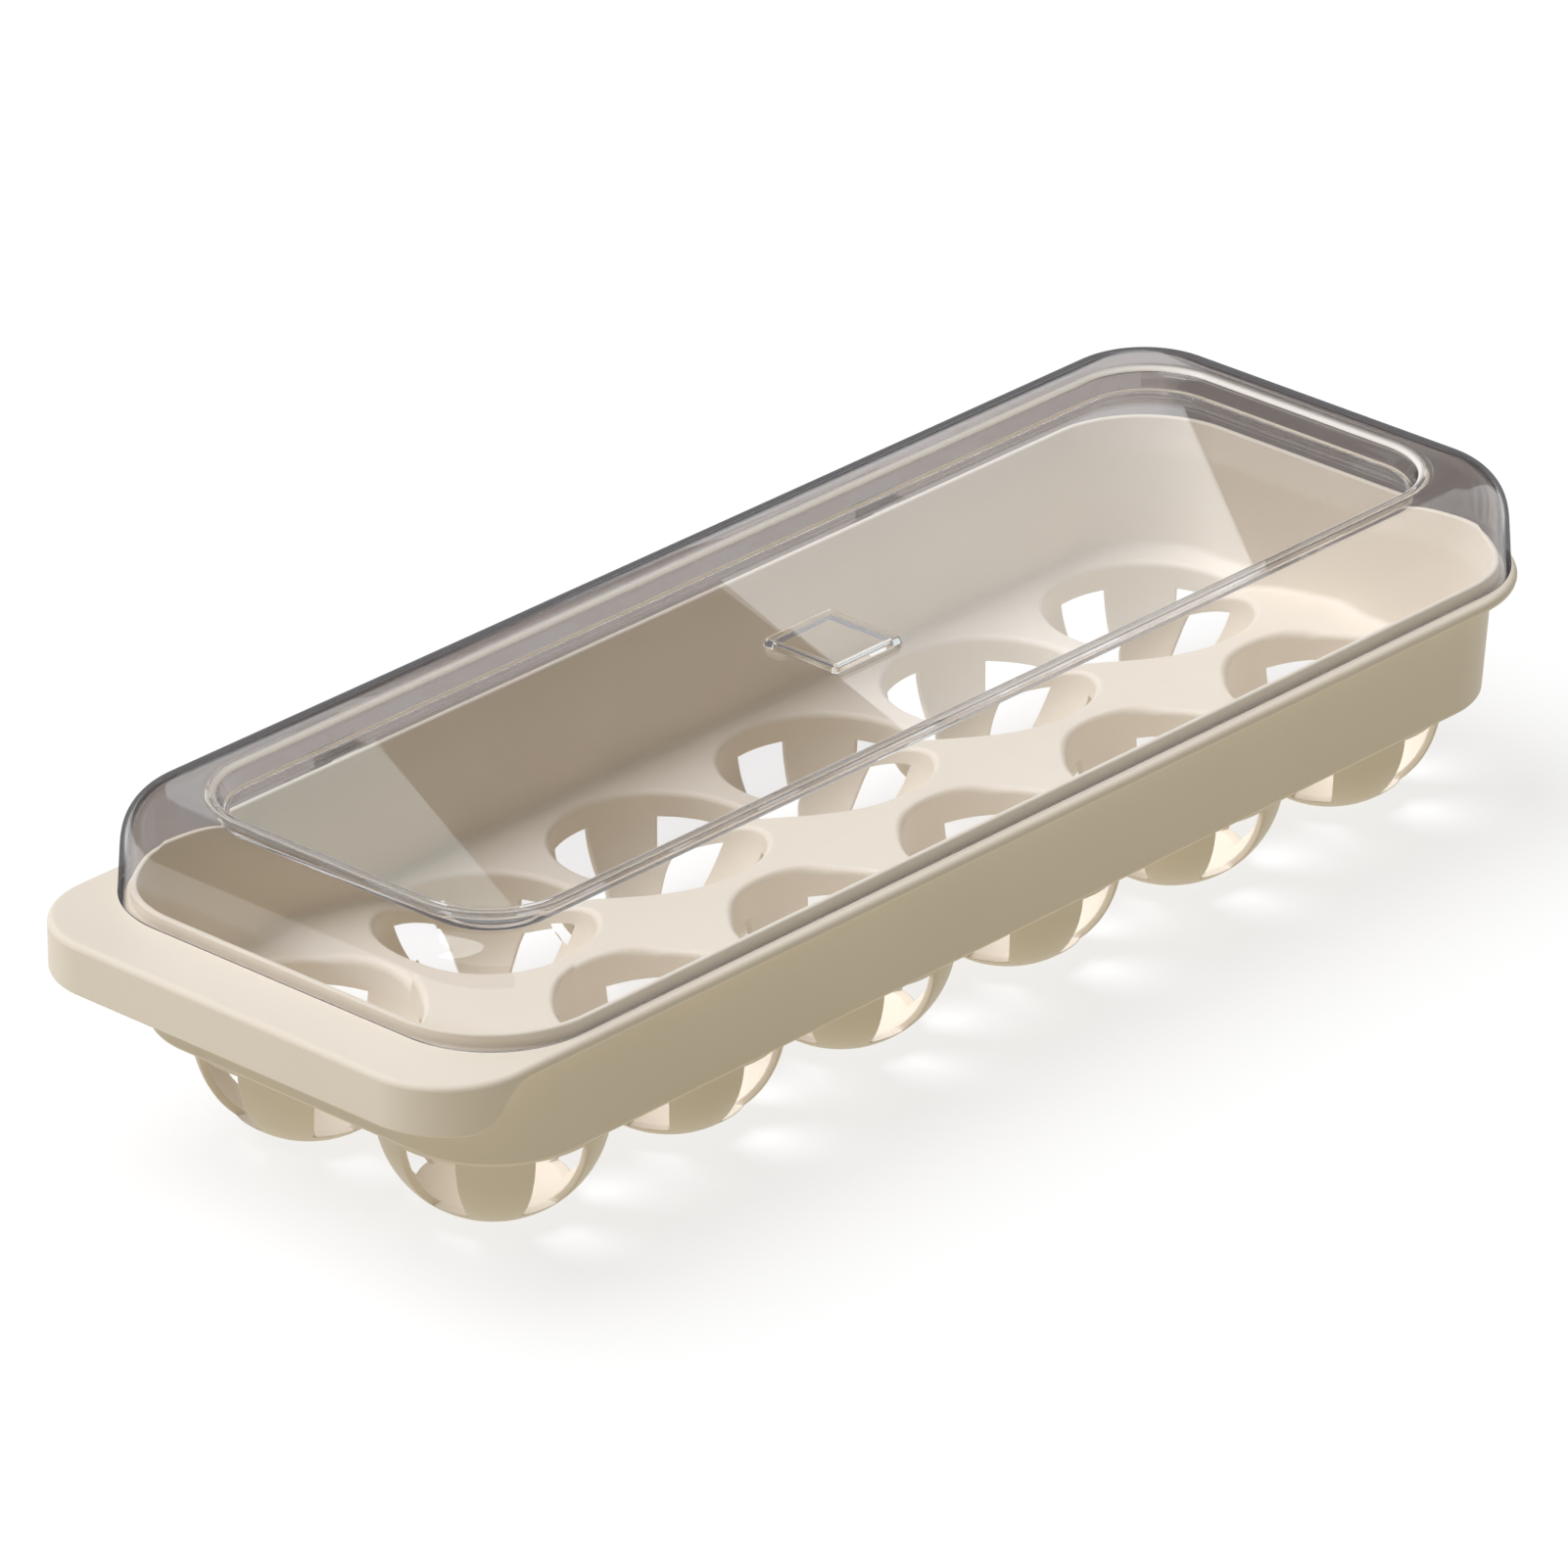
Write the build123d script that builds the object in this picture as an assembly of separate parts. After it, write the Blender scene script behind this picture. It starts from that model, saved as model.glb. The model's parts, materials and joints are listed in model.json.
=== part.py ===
from build123d import *
from math import acos, asin, cos, degrees, radians, sin, sqrt, tan
import os

os.makedirs("parts", exist_ok=True)

# Egg keeper with a flip lid: a moulded tray of round egg cups with a pull handle at one end,
# and a clear lid that turns about two pins on one long side.  Millimetres, +Z up, +X away
# from the handle, +Y towards the hinge.  The origin is under the middle of the whole object,
# on the plane that its cups stand on.  Sizes are driving values unless worked out from others.

# ---- Cup field ---------------------------------------------------------------------------
cups_along = 6
cups_across = 2
cup_radius = 23.3
cup_wall = 1.6
cup_foot_cut = 1.0
cup_neck = 1.7
cup_mouth_rounding = 1.4
valley_rounding = 1.4
deck_land = 0.3
window_count = 5
window_angle = 32.0
window_sill_latitude = 48.0
window_head_drop = 4.0

# ---- Tray --------------------------------------------------------------------------------
deck_thickness = 1.8
deck_corner_radius = 18.0
wall_foot_margin = 3.4
wall_foot_rounding = 1.2
wall_draft = 4.0
wall_thickness = 1.5
wall_rise = 25.5
flange_margin = 10.2
flange_thickness = 2.0
flange_edge_rounding = 1.4
rim_margin = 6.4
rim_thickness = 1.3
rim_rise = 2.9
rim_rounding = 0.5
rim_flare = 7.4

# ---- Pull handle -------------------------------------------------------------------------
handle_reach = 12.5
handle_corner_radius = 19.5
handle_skirt = 11.0
ogee_start = 7.5
ogee_run = 15.0

# ---- Lid ---------------------------------------------------------------------------------
lid_seat_gap = 0.1
lid_rim_gap = 0.3
lid_wall = 1.2
lid_rise = 22.0
lid_draft = 3.7
lid_corner_radius = 23.3
lid_shoulder_radius = 11.0
recess_inset = 7.25
recess_corner_radius = 17.75
recess_depth = 4.4
recess_draft = 27.0
recess_rounding = 1.4
boss_width = 20.0
boss_height = 1.5
boss_draft = 15.0

# ---- Hinge -------------------------------------------------------------------------------
hinge_spacing = 160.0
hinge_axis_margin = 13.0
hinge_axis_drop = 3.6
hinge_open_angle = 105.0
barrel_radius = 2.4
pin_radius = 1.1
pin_seat_gap = 0.02
pin_running_gap = 0.05
knuckle_width = 6.0
knuckle_gusset = 4.0
ear_width = 10.0
ear_side_gap = 0.3
ear_thickness = 2.2
ear_flange_gap = 0.4
heel_thickness = 2.0
heel_length = 5.6
heel_stop_gap = 0.15

# ---- Worked out --------------------------------------------------------------------------
cup_pitch = 2 * (cup_radius + valley_rounding + deck_land)
field_x = cups_along * cup_pitch / 2
field_y = cups_across * cup_pitch / 2
core_x = field_x - deck_corner_radius
core_y = field_y - deck_corner_radius
cup_centre = cup_radius - cup_foot_cut
cup_bore = cup_radius - cup_wall
deck_under = cup_centre + cup_neck
deck_top = deck_under + deck_thickness
flange_under = deck_under + wall_rise
flange_top = flange_under + flange_thickness
rim_top = flange_top + rim_rise
flange_x = field_x + flange_margin
flange_y = field_y + flange_margin
handle_front = flange_x + handle_reach
lid_x = field_x + rim_margin + lid_rim_gap + lid_wall
lid_y = field_y + rim_margin + lid_rim_gap + lid_wall
lid_foot = flange_top + lid_seat_gap
lid_top = flange_top + lid_rise
hinge_y = field_y + hinge_axis_margin
hinge_z = flange_top - hinge_axis_drop
knuckle_offset = ear_width / 2 + ear_side_gap + knuckle_width / 2
pin_length = ear_width + 2 * ear_side_gap + 2 * knuckle_width
overlap = 1.0
to_origin = Pos((handle_front - flange_x) / 2, (flange_y - hinge_y - barrel_radius) / 2, 0)


def polygon(*corners):
    """Closed face in the XZ plane from (x, z) corners."""
    return make_face(Polyline(*[(x, 0, z) for x, z in corners], close=True))


def arc(centre_x, centre_z, radius, start, end):
    """Arc in the XZ plane about a centre, from one angle to another in degrees."""
    def at(angle):
        return (centre_x + radius * cos(radians(angle)), 0, centre_z + radius * sin(radians(angle)))
    return ThreePointArc(at(start), at((start + end) / 2), at(end))


def chain(*edges):
    """Closed face from edges in order, with straight runs put in where they don't meet."""
    runs = []
    for edge, following in zip(edges, edges[1:] + edges[:1]):
        if (following @ 0 - edge @ 1).length > 1e-6:
            runs.append(Line(edge @ 1, following @ 0))
    return make_face([*edges, *runs])


def rounded(face, *corners):
    """The face with each corner (x, z, radius) rounded."""
    for x, z, radius in corners:
        face = fillet(face.vertices().sort_by_distance((x, 0, z))[0], radius)
    return face


def around(profile, half_x, half_y):
    """Carry a section, drawn as (distance out, height), around a half_x by half_y core."""
    corner = revolve(profile, Axis.Z, 90)
    end = extrude(profile, half_y, dir=(0, -1, 0))
    side = extrude(Rot(0, 0, 90) * profile, half_x, dir=(-1, 0, 0))
    quarter = Pos(half_x, half_y, 0) * (corner + end + side)
    half = quarter + mirror(quarter, Plane.XZ)
    return half + mirror(half, Plane.YZ)


def filled(profile, half_x, half_y, low, high):
    """The same, with the core itself filled between two heights."""
    core = Pos(0, 0, (low + high) / 2) * Box(2 * half_x, 2 * half_y, high - low)
    return around(profile, half_x, half_y) + core


def across(profile, width):
    """Carry a section drawn in (y, z) evenly both ways along X."""
    return Rot(0, 0, 90) * extrude(profile, width / 2, both=True)


def block(half_x, half_y, radius, low, high, taper=0.0):
    """Upright rounded block between two heights, each wall leaning in by taper degrees."""
    plan = Pos(0, 0, low) * RectangleRounded(2 * half_x, 2 * half_y, radius)
    return extrude(plan, high - low, taper=taper)


def save(name, shape):
    """Put a finished piece in the object's frame and write it."""
    shape.label = name
    export_step(to_origin * shape, f"parts/{name}.step")


# ---- Egg cups: each a ball-shaped cup hung from its own square of the deck ----------------
foot_angle = -degrees(acos(sqrt(1 - (cup_centre / cup_radius) ** 2)))
floor_angle = -degrees(asin((cup_centre - cup_wall) / cup_bore))
flare_x = cup_radius + valley_rounding
mouth_x = cup_bore + cup_mouth_rounding

cup_outside = revolve(chain(
    arc(0, cup_centre, cup_radius, foot_angle, 0),
    arc(flare_x, deck_under - valley_rounding, valley_rounding, 180, 90),
    Line((flare_x, 0, deck_top), (0, 0, deck_top)),
    Line((0, 0, deck_top), (0, 0, 0)),
), Axis.Z)
cup_inside = revolve(chain(
    arc(0, cup_centre, cup_bore, floor_angle, 0),
    arc(mouth_x, deck_top - cup_mouth_rounding, cup_mouth_rounding, 180, 90),
    Line((mouth_x, 0, deck_top + overlap), (0, 0, deck_top + overlap)),
    Line((0, 0, deck_top + overlap), (0, 0, cup_wall)),
), Axis.Z)

window_low = cup_centre - cup_radius * sin(radians(window_sill_latitude))
window_high = deck_under - window_head_drop
window_half = 2 * cup_radius * tan(radians(window_angle / 2))
window_wedge = make_face(Polyline((0, 0), (2 * cup_radius, -window_half), (2 * cup_radius, window_half), close=True))
window = Pos(0, 0, window_low) * extrude(window_wedge, window_high - window_low)
windows = [Rot(0, 0, (k + 0.5) * 360 / window_count) * window for k in range(window_count)]
ball = cup_outside - cup_inside - windows
tile = Pos(0, 0, deck_under) * extrude(Rectangle(cup_pitch, cup_pitch) - Circle(flare_x), deck_thickness)
field = block(field_x, field_y, deck_corner_radius, deck_under, deck_top)

for row in range(cups_across):
    for column in range(cups_along):
        centre = Pos((column + 0.5) * cup_pitch - field_x, (row + 0.5) * cup_pitch - field_y, 0)
        rib_angle = (-135 if column % 2 == 0 else -45) * (1 if row == 0 else -1)
        cup = (centre * tile & field) + centre * Rot(0, 0, rib_angle) * ball
        save(f"egg_cup_{row * cups_along + column + 1:02d}", cup)

# ---- Tray shell: the wall, its flange and rim, and the pull handle --------------------------
foot_r = deck_corner_radius + wall_foot_margin
lean = tan(radians(wall_draft))
flange_root_r = foot_r + (flange_under - deck_under) * lean
flange_r = deck_corner_radius + flange_margin
rim_r = deck_corner_radius + rim_margin
rim_bore_r = rim_r - rim_thickness
wall_bore_r = flange_root_r - wall_thickness
flare_foot = rim_top - rim_flare
flare_foot_r = wall_bore_r - (flange_under - flare_foot) * lean
deck_bore_r = foot_r + deck_thickness * lean - wall_thickness

wall = rounded(
    polygon(
        (deck_corner_radius, deck_under), (foot_r, deck_under), (flange_root_r, flange_under),
        (rim_r, flange_under), (rim_r, rim_top), (rim_bore_r, rim_top), (flare_foot_r, flare_foot),
        (deck_bore_r, deck_top), (deck_corner_radius, deck_top),
    ),
    (foot_r, deck_under, wall_foot_rounding),
    (rim_r, rim_top, rim_rounding),
    (rim_bore_r, rim_top, rim_rounding),
)


def flange_plan(inset):
    """Plan of the flange, lengthened into the handle at -X, drawn in by inset."""
    length = 2 * flange_x + handle_reach - 2 * inset
    plan = Pos(-handle_reach / 2, 0) * Rectangle(length, 2 * flange_y - 2 * inset)
    plan = fillet(plan.vertices().group_by(Axis.X)[-1], flange_r - inset)
    return fillet(plan.vertices().group_by(Axis.X)[0], handle_corner_radius - inset)


handle_low = flange_top - handle_skirt
ogee_low_x = ogee_start - handle_front
ogee_high_x = ogee_low_x + ogee_run
ogee_height = flange_under - handle_low
ogee_radius = (ogee_run ** 2 + ogee_height ** 2) / (4 * ogee_height)
ogee_turn = degrees(asin(ogee_run / (2 * ogee_radius)))
below_ogee = chain(
    arc(ogee_low_x, handle_low + ogee_radius, ogee_radius, -90, -90 + ogee_turn),
    arc(ogee_high_x, flange_under - ogee_radius, ogee_radius, 90 + ogee_turn, 90),
    Line((flange_x + overlap, 0, flange_under), (flange_x + overlap, 0, handle_low - overlap)),
    Line((flange_x + overlap, 0, handle_low - overlap), (ogee_low_x, 0, handle_low - overlap)),
)
flange = Pos(0, 0, handle_low) * extrude(flange_plan(0), handle_skirt)
flange = fillet(flange.faces().sort_by(Axis.Z)[-1].outer_wire().edges(), flange_edge_rounding)
flange -= Pos(0, 0, handle_low) * extrude(flange_plan(flange_thickness), ogee_height)
flange -= extrude(below_ogee, 2 * flange_y, both=True)
flange_bore = rim_margin - rim_thickness / 2
flange -= block(field_x + flange_bore, field_y + flange_bore, rim_r - rim_thickness / 2, handle_low, flange_top)
tray_shell = around(wall, core_x, core_y) + flange
save("tray_shell", tray_shell)

# ---- Hinge: knuckles under the flange's far edge, and a pin through each pair --------------
gusset_low = hinge_z - barrel_radius - knuckle_gusset
knuckle_side = polygon(
    (core_y + flange_root_r, flange_under), (hinge_y, flange_under), (hinge_y, hinge_z - barrel_radius),
    (core_y + foot_r + (gusset_low - deck_under) * lean, gusset_low),
)
axis_point = Pos(hinge_y, 0, hinge_z) * Rot(90, 0, 0)
barrel_side = axis_point * Circle(barrel_radius)
seat = axis_point * Circle(pin_radius + pin_seat_gap)
knuckle = across(knuckle_side + barrel_side - seat, knuckle_width)
knuckle_pair = Pos(-knuckle_offset, 0, 0) * knuckle + Pos(knuckle_offset, 0, 0) * knuckle
pin = across(axis_point * Circle(pin_radius), pin_length)
hinge_places = {"left": -hinge_spacing / 2, "right": hinge_spacing / 2}
for side, x in hinge_places.items():
    save(f"hinge_knuckles_{side}", Pos(x, 0, 0) * knuckle_pair)
    save(f"hinge_pin_{side}", Pos(x, 0, 0) * pin)

# ---- Lid: a clear shell with a sunk panel and a square boss, and an ear at each pin --------
lid_core_x = lid_x - lid_corner_radius
lid_core_y = lid_y - lid_corner_radius
lid_lean = tan(radians(lid_draft))


def lid_solid(inset, low, high):
    """The lid's body filled in, drawn in by inset, with its rounded shoulder."""
    foot = lid_corner_radius - inset
    top = foot - (high - lid_foot) * lid_lean
    side = polygon((0, low), (foot - (low - lid_foot) * lid_lean, low), (top, high), (0, high))
    return filled(rounded(side, (top, high, lid_shoulder_radius - inset)), lid_core_x, lid_core_y, low, high)


def sunk(grow, high, depth, rounding):
    """The recess filled in, grown sideways, its sides leaning in to a rounded foot."""
    half_x = field_x - recess_inset + grow
    half_y = field_y - recess_inset + grow
    body = block(half_x, half_y, recess_corner_radius + grow, 0, depth, recess_draft)
    body = fillet(body.faces().sort_by(Axis.Z)[-1].outer_wire().edges(), rounding)
    return Pos(0, 0, high) * Rot(180, 0, 0) * body


recess_grow = lid_wall / cos(radians(recess_draft)) - lid_wall * tan(radians(recess_draft))
cavity = lid_solid(lid_wall, lid_foot - overlap, lid_top - lid_wall)
cavity -= sunk(recess_grow, lid_top - lid_wall, recess_depth, recess_rounding + lid_wall)
lid = lid_solid(0, lid_foot, lid_top) - sunk(0, lid_top, recess_depth, recess_rounding) - cavity

panel_top = lid_top - recess_depth
boss_bore = boss_width - 2 * lid_wall - 2 * boss_height * tan(radians(boss_draft))
lid += Pos(0, 0, panel_top) * extrude(Rectangle(boss_width, boss_width), boss_height, taper=boss_draft)
lid -= Pos(0, 0, panel_top - lid_wall) * extrude(Rectangle(boss_bore, boss_bore), boss_height)

leg_y = flange_y + ear_flange_gap
bridge_z = flange_top + ear_flange_gap
ear_side = polygon(
    (lid_y - lid_wall / 2, bridge_z), (leg_y, bridge_z), (leg_y, hinge_z), (leg_y + ear_thickness, hinge_z),
    (leg_y + ear_thickness, bridge_z + ear_thickness), (lid_y - lid_wall / 2, bridge_z + ear_thickness),
)
ear_side = rounded(ear_side, (leg_y + ear_thickness, bridge_z + ear_thickness, ear_thickness / 2))

heel_corner = sqrt(heel_length ** 2 + heel_thickness ** 2 / 4)
heel_slope = asin((flange_under - hinge_z - heel_stop_gap) / heel_corner) - asin(heel_thickness / 2 / heel_corner)
heel_angle = 180 - degrees(heel_slope) + hinge_open_angle
heel = Pos(hinge_y, 0, hinge_z) * Rot(0, -heel_angle, 0) * polygon(
    (0, -heel_thickness / 2), (heel_length, -heel_thickness / 2), (heel_length, heel_thickness / 2),
    (0, heel_thickness / 2),
)
running_bore = axis_point * Circle(pin_radius + pin_running_gap)
ear = across(ear_side + barrel_side + heel - running_bore, ear_width)
for x in hinge_places.values():
    lid += Pos(x, 0, 0) * ear
save("lid", lid)
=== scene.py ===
import bmesh
import bpy
import json
import numpy as np
from mathutils import Matrix, Vector
from mathutils.geometry import tessellate_polygon


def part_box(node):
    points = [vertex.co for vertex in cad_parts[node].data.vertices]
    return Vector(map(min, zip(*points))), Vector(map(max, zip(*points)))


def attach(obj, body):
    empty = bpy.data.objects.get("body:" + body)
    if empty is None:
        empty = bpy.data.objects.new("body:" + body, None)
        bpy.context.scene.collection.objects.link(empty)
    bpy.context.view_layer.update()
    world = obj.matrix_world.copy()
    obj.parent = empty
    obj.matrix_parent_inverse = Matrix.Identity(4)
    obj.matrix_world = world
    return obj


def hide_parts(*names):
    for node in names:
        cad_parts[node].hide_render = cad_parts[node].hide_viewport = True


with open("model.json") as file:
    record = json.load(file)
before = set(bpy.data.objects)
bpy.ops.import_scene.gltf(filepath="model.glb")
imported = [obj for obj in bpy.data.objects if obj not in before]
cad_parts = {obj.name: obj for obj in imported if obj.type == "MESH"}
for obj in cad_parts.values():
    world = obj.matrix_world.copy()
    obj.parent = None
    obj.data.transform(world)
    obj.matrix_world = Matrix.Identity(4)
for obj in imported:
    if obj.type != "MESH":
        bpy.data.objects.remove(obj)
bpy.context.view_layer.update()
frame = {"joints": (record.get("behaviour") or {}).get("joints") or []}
mm = 0.001

# ---- Tray shell ----------------------------------------------------------------------------
# The wall, flange, rim and pull handle of the tray: one injection moulding in cream polypropylene.
# The wall leans out from a rounded foot to a thin flange, and at one end the flange is longer and
# turns down into a skirt that the fingers hook behind.  A low rim stands up for the lid to sit round.
shell_low, shell_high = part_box("tray_shell")
first_cup_low, first_cup_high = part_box("egg_cup_01")
field_low = np.array(first_cup_low[:2]) / mm
field_high = np.array(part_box("egg_cup_12")[1][:2]) / mm
centre_x, centre_y = (field_low + field_high) / 2
field_x, field_y = (field_high - field_low) / 2
deck_under = shell_low.z / mm
deck_top = first_cup_high.z / mm
rim_top = shell_high.z / mm
rim_rise = 2.9
flange_top = rim_top - rim_rise
flange_thickness = 2.0
flange_under = flange_top - flange_thickness
flange_x = shell_high.x / mm - centre_x
flange_y = shell_high.y / mm - centre_y
handle_front = centre_x - shell_low.x / mm
deck_corner = 18.0
core_x, core_y = field_x - deck_corner, field_y - deck_corner
wall_foot = 21.4
wall_lean = np.tan(np.radians(4.0))
wall_root = wall_foot + (flange_under - deck_under) * wall_lean
wall_thickness = 1.5
wall_foot_rounding, wall_root_rounding = 1.2, 0.8
rim_outer, rim_inner = 24.4, 23.1
rim_rounding, rim_root_rounding = 0.5, 0.4
rim_flare, flare_rounding, deck_rounding = 7.4, 14, 1.8
flange_corner = flange_x - core_x
handle_corner = 19.5
handle_skirt = 11.0
ogee_start, ogee_run = 7.5, 15.0
corner_steps = 32


def turn(centre_r, centre_z, radius, start, end, steps):
    """Points (r, z) on an arc: the centre plus radius times the cosine and sine of evenly spaced angles."""
    angle = np.radians(np.linspace(start, end, steps + 1))
    return np.stack([centre_r + radius * np.cos(angle), centre_z + radius * np.sin(angle)], 1)


def corner(before, at, after, radius, steps=6):
    """Points (r, z) that round a profile's corner.  The tangent points lie radius / tan(half the inside
    angle) from the corner, the centre lies on its bisector, and the arc turns evenly between them."""
    at = np.array(at, float)
    one = (np.array(before, float) - at) / np.linalg.norm(np.array(before, float) - at)
    two = (np.array(after, float) - at) / np.linalg.norm(np.array(after, float) - at)
    half = np.arccos(np.clip(one @ two, -1, 1)) / 2
    bisector = (one + two) / np.linalg.norm(one + two)
    centre = at + bisector * radius / np.sin(half)
    first = at + one * radius / np.tan(half) - centre
    last = at + two * radius / np.tan(half) - centre
    share = np.linspace(0, 1, steps + 1)[:, None]
    sweep = np.pi - 2 * half
    return centre + (np.sin((1 - share) * sweep) * first + np.sin(share * sweep) * last) / np.sin(sweep)


def ring(west, east, half_y, west_radius, east_radius, height, side_shares):
    """One loop of points round a rectangle with rounded corners, anticlockwise from the south-west.  A
    corner is its centre plus radius times an evenly turning unit vector, and the points of a side lie at
    side_shares of the way between two corners."""
    quarter = np.linspace(0, np.pi / 2, corner_steps + 1)
    centres = [
        (west + west_radius, -half_y + west_radius, west_radius, np.pi),
        (east - east_radius, -half_y + east_radius, east_radius, 1.5 * np.pi),
        (east - east_radius, half_y - east_radius, east_radius, 0.0),
        (west + west_radius, half_y - west_radius, west_radius, 0.5 * np.pi),
    ]
    turns = [
        np.stack([x + r * np.cos(start + quarter), y + r * np.sin(start + quarter)], 1)
        for x, y, r, start in centres
    ]
    parts = []
    for here, following, mirrored in zip(turns, turns[1:] + turns[:1], (False, False, True, False)):
        share = np.array(side_shares)[:, None]
        share = 1 - share[::-1] if mirrored else share
        parts += [here, here[-1] + (following[0] - here[-1]) * share]
    flat = np.concatenate(parts)
    return np.column_stack([flat, np.broadcast_to(height, len(flat))])


def loft(name, loops, closed):
    """A mesh from equal loops of points: each quad joins neighbours on one loop to the same two on the next.
    A closed loft joins the last loop to the first, and an open one is capped flat at both ends."""
    loops = np.array(loops)
    count, size = loops.shape[:2]
    around = np.arange(size)
    ahead = (around + 1) % size
    row = np.arange(count if closed else count - 1)[:, None] * size
    following = (row + size) % (count * size)
    quads = np.stack([row + around, row + ahead, following + ahead, following + around], -1).reshape(-1, 4)
    faces = quads.tolist()
    if not closed:
        faces += [around[::-1].tolist(), ((count - 1) * size + around).tolist()]
    mesh = bpy.data.meshes.new(name)
    mesh.from_pydata(((loops.reshape(-1, 3) + (centre_x, centre_y, 0)) * mm).tolist(), [], faces)
    return finished(name, mesh)


def finished(name, mesh):
    """The mesh as a smooth object at the origin, each shading normal weighted by its faces' areas."""
    mesh.validate()
    mesh.polygons.foreach_set("use_smooth", np.ones(len(mesh.polygons), bool))
    piece = bpy.data.objects.new(name, mesh)
    bpy.context.scene.collection.objects.link(piece)
    weighted = piece.modifiers.new("flat faces stay flat", "WEIGHTED_NORMAL")
    weighted.keep_sharp = True
    return piece


def cream_plastic():
    """Cream polypropylene from a fine-sparked mould: a faint grain in the bump and the gloss, and a
    slow drift of tone where the melt flowed."""
    made = bpy.data.materials.new("cream_polypropylene")
    made.use_nodes = True
    nodes, links = made.node_tree.nodes, made.node_tree.links
    plastic = nodes["Principled BSDF"]
    place = nodes.new("ShaderNodeTexCoord")
    flow = nodes.new("ShaderNodeTexNoise")
    flow.inputs["Scale"].default_value = 18
    flow.inputs["Detail"].default_value = 2
    tone = nodes.new("ShaderNodeValToRGB")
    tone.color_ramp.elements[0].position = 0.3
    tone.color_ramp.elements[0].color = (0.835, 0.76, 0.655, 1)
    tone.color_ramp.elements[1].position = 0.7
    tone.color_ramp.elements[1].color = (0.87, 0.795, 0.69, 1)
    grain = nodes.new("ShaderNodeTexNoise")
    grain.inputs["Scale"].default_value = 2600
    grain.inputs["Detail"].default_value = 3
    gloss = nodes.new("ShaderNodeMapRange")
    gloss.inputs["To Min"].default_value = 0.38
    gloss.inputs["To Max"].default_value = 0.52
    relief = nodes.new("ShaderNodeBump")
    relief.inputs["Strength"].default_value = 0.12
    relief.inputs["Distance"].default_value = 0.00005
    links.new(place.outputs["Object"], flow.inputs["Vector"])
    links.new(place.outputs["Object"], grain.inputs["Vector"])
    links.new(flow.outputs["Fac"], tone.inputs["Fac"])
    links.new(tone.outputs["Color"], plastic.inputs["Base Color"])
    links.new(grain.outputs["Fac"], gloss.inputs["Value"])
    links.new(gloss.outputs["Result"], plastic.inputs["Roughness"])
    links.new(grain.outputs["Fac"], relief.inputs["Height"])
    links.new(relief.outputs["Normal"], plastic.inputs["Normal"])
    return made


cream = cream_plastic()
handle_shares = (0.0035, 0.007, 0.0105, 0.5, 0.99)


def core_ring(r, z):
    """A loop at distance r outside the tray's core rectangle."""
    return ring(-core_x - r, core_x + r, core_y + r, r, r, z, handle_shares)


def flange_ring(inset, z):
    """A loop that follows the flange and handle's edge, drawn in by inset."""
    west, east, half_y = inset - handle_front, flange_x - inset, flange_y - inset
    return ring(west, east, half_y, handle_corner - inset, flange_corner - inset, z, handle_shares)


def skirt_depth(x):
    """How far the handle's skirt hangs below the flange at x: all of it at the front, then an S of two
    equal arcs, each as high as half the skirt and as long as half the run, up to the flange's underside."""
    full = handle_skirt - flange_thickness
    arc_radius = (ogee_run ** 2 + full ** 2) / (4 * full)
    along = np.clip(x + handle_front - ogee_start, 0, ogee_run)
    down = arc_radius - np.sqrt(arc_radius ** 2 - np.minimum(along, ogee_run - along) ** 2)
    return np.where(along < ogee_run / 2, full - down, down)


def skirt_loop(flat_inset, folded_inset, lift_share, drop):
    """A loop of the flange's underside.  Where there is no skirt it lies flat at flat_inset, and where there
    is one it folds down to folded_inset, at the skirt's foot for a lift_share of 0 or its root for 1."""
    depth = skirt_depth(flange_ring(folded_inset, 0)[:, 0])
    fold = np.clip(depth, 0, 1)
    inset = flat_inset + (folded_inset - flat_inset) * fold[:, None]
    flat = flange_ring(0, 0) * (1 - inset / 10) + flange_ring(10, 0) * inset / 10
    flat[:, 2] = flange_under - np.maximum(depth * (1 - lift_share) + drop * fold, 0)
    return flat


# The wall's section (r, z) round the core: its foot and root outside, the rim, and down the leaning inside.
wall_bore = wall_root - wall_thickness
deck_bore = wall_foot + (deck_top - deck_under) * wall_lean - wall_thickness
flare_foot = rim_top - rim_flare
foot_at, root_at = (wall_foot, deck_under), (wall_root, flange_under)
rim_foot_at, rim_edge_at, rim_lip_at = (rim_outer, flange_top), (rim_outer, rim_top), (rim_inner, rim_top)
flare_at, deck_at = (wall_bore - (flange_under - flare_foot) * wall_lean, flare_foot), (deck_bore, deck_top)
wall_outside = np.concatenate([
    corner((deck_corner, deck_under), foot_at, root_at, wall_foot_rounding, 8),
    corner(foot_at, root_at, (wall_root + 5, flange_under), wall_root_rounding, 4),
])
rim_and_inside = np.concatenate([
    corner((rim_outer + 5, flange_top), rim_foot_at, rim_edge_at, rim_root_rounding, 4),
    corner(rim_foot_at, rim_edge_at, rim_lip_at, rim_rounding, 5),
    corner(rim_edge_at, rim_lip_at, flare_at, rim_rounding, 5),
    corner(rim_lip_at, flare_at, deck_at, flare_rounding, 5),
    corner(flare_at, deck_at, (deck_corner, deck_top), deck_rounding, 6),
])
edge_rounding, skirt_foot = 1.4, 0.5
edge_turn = turn(edge_rounding, flange_top - edge_rounding, edge_rounding, 180, 90, 7)

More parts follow.
